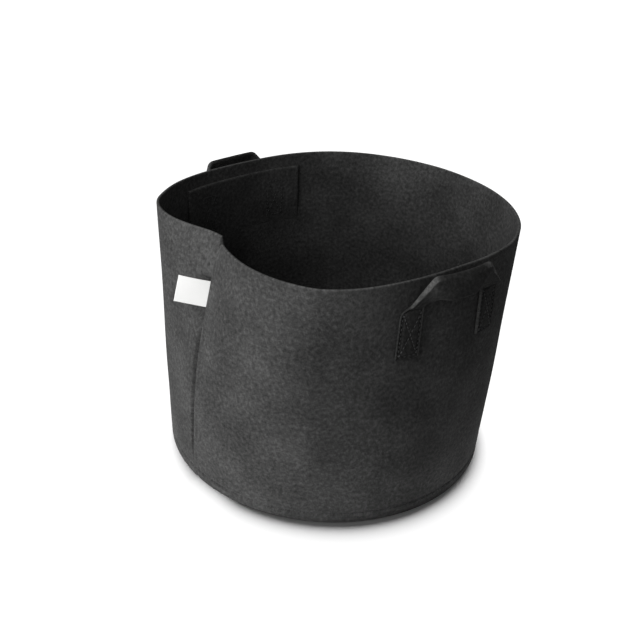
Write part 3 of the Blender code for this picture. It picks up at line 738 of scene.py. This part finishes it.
ends = turn_of(THREAD)
base_row = [needle_holes(((ends, BASE_SEAM_HEIGHT), (FULL_TURN - ends, BASE_SEAM_HEIGHT)), BASE_STITCH)]
sew("base_stitches", base_row, on_wall(on_outer_face), "base_seam_thread")
sew("base_bobbin_stitches", base_row, on_wall(on_base_edge, inwards=True), "base_seam_bobbin_thread")
side_low, side_high = BASE_TURN_UP + SIDE_SEAM_INSET, BAG_HEIGHT - SIDE_SEAM_BELOW_RIM
for start_turn, name, seat, node_name in (
        (0.0, "side_stitches", on_wall(on_outer_face), "side_seam_thread"),
        (FULL_TURN, "side_bobbin_stitches", on_wall(on_lap_inside, inwards=True),
         "side_seam_bobbin_thread")):
    side_turn = start_turn + turn_of(SIDE_SEAM_INSET)
    side_row = [needle_holes(((side_turn, side_low), (side_turn, side_high)), SIDE_STITCH)]
    sew(name, side_row, seat, node_name)
for handle, handle_turn in HANDLE_TURNS.items():
    for end, side in (("front", -1), ("rear", 1)):
        facing_side = side if handle == "right" else -side
        tab_turn = handle_turn + facing_side * turn_of(TAB_SPACING / 2 - TAB_SPREAD / 2)
        left, right = tab_turn - turn_of(BOX_ACROSS), tab_turn + turn_of(BOX_ACROSS)
        low, high = TAB_BOTTOM + BOX_INSET, TAB_TOP - BOX_INSET
        tab_rows = [needle_holes(line, STITCH_PITCH) for line in (
            ((left, low), (right, low)), ((right, low), (right, high)), ((right, high), (left, high)),
            ((left, high), (left, low)), ((left, low), (right, high)), ((left, high), (right, low)))]
        tab = f"{handle}_handle_{end}_tab"
        sew(f"{handle}_{end}_stitches", tab_rows, on_wall(on_strap_end(tab_turn)), f"{tab}_thread",
            strap_thread, STRAP_THREAD)
        sew(f"{handle}_{end}_bobbin_stitches", tab_rows, on_wall(on_patch, inwards=True),
            f"{tab}_bobbin_thread")

# The label is a short piece of white woven tape, heat-cut at its ends and caught by one end in the side
# seam. It is blank, and stands off the wall like a flag.
LABEL = 0.0008
LABEL_STEP, LABEL_EDGE, LABEL_BOW, LABEL_BOW_LOW = 0.0010, 0.0004, 0.0011, 0.6
YARN_SCALE = 450.0
LABEL_TONE = (0.87, 0.87, 0.86)
label_joint = next(j for j in frame["joints"] if j["name"] == "label_flap")
label_corners = np.array([v.co for v in frame["nodes"]["seam_label"].data.vertices])
label_hinge, label_up = np.array(label_joint["pos_m"]), np.array(label_joint["axis"])
label_offsets = label_corners - label_hinge
label_rise = label_offsets @ label_up
label_reach = np.linalg.norm(label_offsets - label_rise[:, None] * label_up, axis=1)
far_end = label_offsets[label_reach > label_reach.max() / 2].mean(axis=0)
label_out = far_end - (far_end @ label_up) * label_up
LABEL_WIDTH = float(np.linalg.norm(label_out))
LABEL_HEIGHT = float(np.ptp(label_rise))
label_out = label_out / LABEL_WIDTH
label_facing = np.cross(label_up, label_out)


def label_material():
    """Plain-woven polyester tape: fine crossing yarns and a soft shine."""
    material = bpy.data.materials.new("white_label_tape")
    material.use_nodes = True
    tree = material.node_tree
    tree.nodes.clear()
    place = node(tree, "ShaderNodeUVMap", uv_map="flat_cut")
    warp = node(tree, "ShaderNodeTexWave", {"Vector": place, "Scale": YARN_SCALE}, bands_direction="X")
    weft = node(tree, "ShaderNodeTexWave", {"Vector": place, "Scale": YARN_SCALE}, bands_direction="Y")
    yarns = node(tree, "ShaderNodeMath", {0: warp, 1: weft}, operation="MAXIMUM")
    haze = node(tree, "ShaderNodeTexNoise", {"Vector": place, "Scale": 120.0, "Detail": 2.0})
    total = node(tree, "ShaderNodeMath", {0: haze, 1: 0.5, 2: yarns}, operation="MULTIPLY_ADD")
    shade = colour_steps(tree, total, LABEL_TONE, ((0.3, 0.93), (0.9, 1.0), (1.0, 1.03)))
    relief = node(tree, "ShaderNodeBump", {"Height": yarns, "Strength": 0.25, "Distance": 0.0001})
    rough = node(tree, "ShaderNodeMapRange", {"Value": haze, "To Min": 0.7, "To Max": 0.55})
    surface = node(tree, "ShaderNodeBsdfPrincipled", {
        "Base Color": shade, "Roughness": rough, "Normal": relief, "Specular IOR Level": 0.3})
    node(tree, "ShaderNodeOutputMaterial", {"Surface": surface})
    return material


reaches, reach_full = cut_steps(0.0, LABEL_WIDTH, LABEL_STEP, LABEL_EDGE)
rises, rise_full = cut_steps(-LABEL_HEIGHT / 2, LABEL_HEIGHT / 2, LABEL_STEP, LABEL_EDGE)
reach_grid, rise_grid = np.meshgrid(reaches, rises)
bow = LABEL_BOW * np.sin(math.pi * reach_grid / LABEL_WIDTH) * (LABEL_BOW_LOW + rise_grid / LABEL_HEIGHT)
half_label = LABEL / 2 * np.minimum(reach_full[None, :], rise_full[:, None])
label_middle = label_hinge + reach_grid[..., None] * label_out + rise_grid[..., None] * label_up
label_flat = np.stack([reach_grid, rise_grid + LABEL_HEIGHT], axis=-1)
label_flag = cut_panel("label_flag", label_middle + label_facing * (bow - half_label)[..., None],
                       label_middle + label_facing * (bow + half_label)[..., None],
                       label_flat, label_material())
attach(label_flag, "label")
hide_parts("seam_label")

# The bag stands on a plain white floor in front of white. Two broad lamps on the left light the bag, one
# more lights the label alone, and a faint light comes from all round. A lamp behind lights the floor alone,
# and only the base blocks it, which leaves the soft shadow at the foot.
FLOOR_SIZE, FLOOR_WHITE = 30.0, 0.90
BOUNCE_NEAR, BOUNCE_FAR, BOUNCE_START, BOUNCE_END = 0.60, 0.08, 0.22, 0.40
AROUND_LIGHT = 0.11
SHADOW_LAMP_TILT, SHADOW_LAMP_TURN, SHADOW_LAMP_SPREAD, SHADOW_LAMP_LEVEL = 50.0, 15.0, 50.0, 1.06
VIEW_AZIMUTH, VIEW_ELEVATION, VIEW_DISTANCE, VIEW_HEIGHT = 47.5, 29.041, 1.06338, 0.15045
VIEW_PAN, VIEW_TILT, VIEW_ROLL, VIEW_LENS, SENSOR_WIDTH = -0.739, -0.052, 3.647, 47.98, 36.0
LAMPS = (
    # name, turn from the camera, elevation, distance, width, how bright it makes a white card facing it, and
    # whether it lights the label alone
    ("side_lamp", -63.0, 6.0, 2.2, 1.0, 0.65, False),
    ("front_lamp", -36.0, 34.0, 2.2, 1.4, 0.32, False),
    ("label_lamp", 0.0, 25.0, 2.2, 1.0, 0.45, True),
)

floor_mesh = bpy.data.meshes.new("white_floor")
floor_half = FLOOR_SIZE / 2
floor_corners = [(x * floor_half, y * floor_half, 0.0) for x, y in ((-1, -1), (1, -1), (1, 1), (-1, 1))]
floor_mesh.from_pydata(floor_corners, [], [(0, 1, 2, 3)])
white_floor = bpy.data.objects.new("white_floor", floor_mesh)
bpy.context.scene.collection.objects.link(white_floor)
white_floor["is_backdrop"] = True
floor_paint = bpy.data.materials.new("white_floor_paint")
floor_paint.use_nodes = True
tree = floor_paint.node_tree
tree.nodes.clear()
seen = tree.nodes.new("ShaderNodeLightPath").outputs["Is Camera Ray"]
shown = node(tree, "ShaderNodeBsdfDiffuse", {"Color": (FLOOR_WHITE, FLOOR_WHITE, FLOOR_WHITE, 1.0)})
spot = tree.nodes.new("ShaderNodeNewGeometry").outputs["Position"]
reach = tree.nodes.new("ShaderNodeVectorMath")
reach.operation = "LENGTH"
tree.links.new(spot, reach.inputs[0])
bounce = node(tree, "ShaderNodeMapRange", {
    "Value": reach.outputs["Value"], "From Min": BOUNCE_START, "From Max": BOUNCE_END,
    "To Min": BOUNCE_NEAR, "To Max": BOUNCE_FAR})
unseen = node(tree, "ShaderNodeBsdfDiffuse", {"Color": bounce})
both = node(tree, "ShaderNodeMixShader", {0: seen, 1: unseen, 2: shown})
node(tree, "ShaderNodeOutputMaterial", {"Surface": both})
floor_mesh.materials.append(floor_paint)

world = bpy.data.worlds.new("white_surround")
world.use_nodes = True
bpy.context.scene.world = world
tree = world.node_tree
tree.nodes.clear()
light_path = tree.nodes.new("ShaderNodeLightPath")
seen = node(tree, "ShaderNodeMath", {0: light_path.outputs["Is Camera Ray"],
                                     1: light_path.outputs["Is Transmission Ray"]}, operation="MAXIMUM")
strength = node(tree, "ShaderNodeMapRange", {"Value": seen, "To Min": AROUND_LIGHT, "To Max": 1.0})
surround = node(tree, "ShaderNodeBackground", {"Color": (1.0, 1.0, 1.0, 1.0), "Strength": strength})
node(tree, "ShaderNodeOutputWorld", {"Surface": surround})

bag_pieces = bpy.data.collections.new("bag_pieces")
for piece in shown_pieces():
    bag_pieces.objects.link(piece)
floor_alone = bpy.data.collections.new("floor_alone")
floor_alone.objects.link(white_floor)
label_alone = bpy.data.collections.new("label_alone")
label_alone.objects.link(label_flag)
bag_middle = Vector((0.0, 0.0, BAG_HEIGHT / 2))
for name, turn, elevation, distance, width, level, on_label in LAMPS:
    lamp_data = bpy.data.lights.new(name, "AREA")
    lamp_data.shape = "DISK"
    lamp_data.size = width
    lamp_data.energy = level * (math.pi * distance) ** 2
    lamp = bpy.data.objects.new(name, lamp_data)
    bearing, height = math.radians(VIEW_AZIMUTH + turn), math.radians(elevation)
    way = Vector((math.sin(bearing) * math.cos(height), -math.cos(bearing) * math.cos(height),
                  math.sin(height)))
    lamp.location = bag_middle + way * distance
    lamp.rotation_euler = way.to_track_quat("Z", "Y").to_euler()
    lamp.light_linking.receiver_collection = label_alone if on_label else bag_pieces
    bpy.context.scene.collection.objects.link(lamp)
shadow_data = bpy.data.lights.new("shadow_lamp", "SUN")
shadow_data.angle = math.radians(SHADOW_LAMP_SPREAD)
shadow_data.energy = SHADOW_LAMP_LEVEL * math.pi / FLOOR_WHITE / math.cos(math.radians(SHADOW_LAMP_TILT))
shadow_lamp = bpy.data.objects.new("shadow_lamp", shadow_data)
foot_alone = bpy.data.collections.new("foot_alone")
foot_alone.objects.link(felt_base)
shadow_lamp.light_linking.blocker_collection = foot_alone
shadow_lamp.rotation_euler = (Matrix.Rotation(math.radians(VIEW_AZIMUTH + SHADOW_LAMP_TURN), 3, "Z")
                              @ Matrix.Rotation(-math.radians(SHADOW_LAMP_TILT), 3, "X")).to_euler()
shadow_lamp.light_linking.receiver_collection = floor_alone
bpy.context.scene.collection.objects.link(shadow_lamp)

camera_data = bpy.data.cameras.new("camera")
camera_data.sensor_width, camera_data.lens = SENSOR_WIDTH, VIEW_LENS
camera = bpy.data.objects.new("camera", camera_data)
camera.matrix_world = (
    Matrix.Rotation(math.radians(VIEW_AZIMUTH), 4, "Z") @ Matrix.Translation((0.0, 0.0, VIEW_HEIGHT))
    @ Matrix.Rotation(-math.radians(VIEW_ELEVATION), 4, "X") @ Matrix.Translation((0.0, -VIEW_DISTANCE, 0.0))
    @ Matrix.Rotation(math.pi / 2, 4, "X") @ Matrix.Rotation(-math.radians(VIEW_PAN), 4, "Y")
    @ Matrix.Rotation(math.radians(VIEW_TILT), 4, "X") @ Matrix.Rotation(math.radians(VIEW_ROLL), 4, "Z"))
bpy.context.scene.collection.objects.link(camera)
bpy.context.scene.camera = camera
bpy.context.scene.view_settings.view_transform = "Standard"
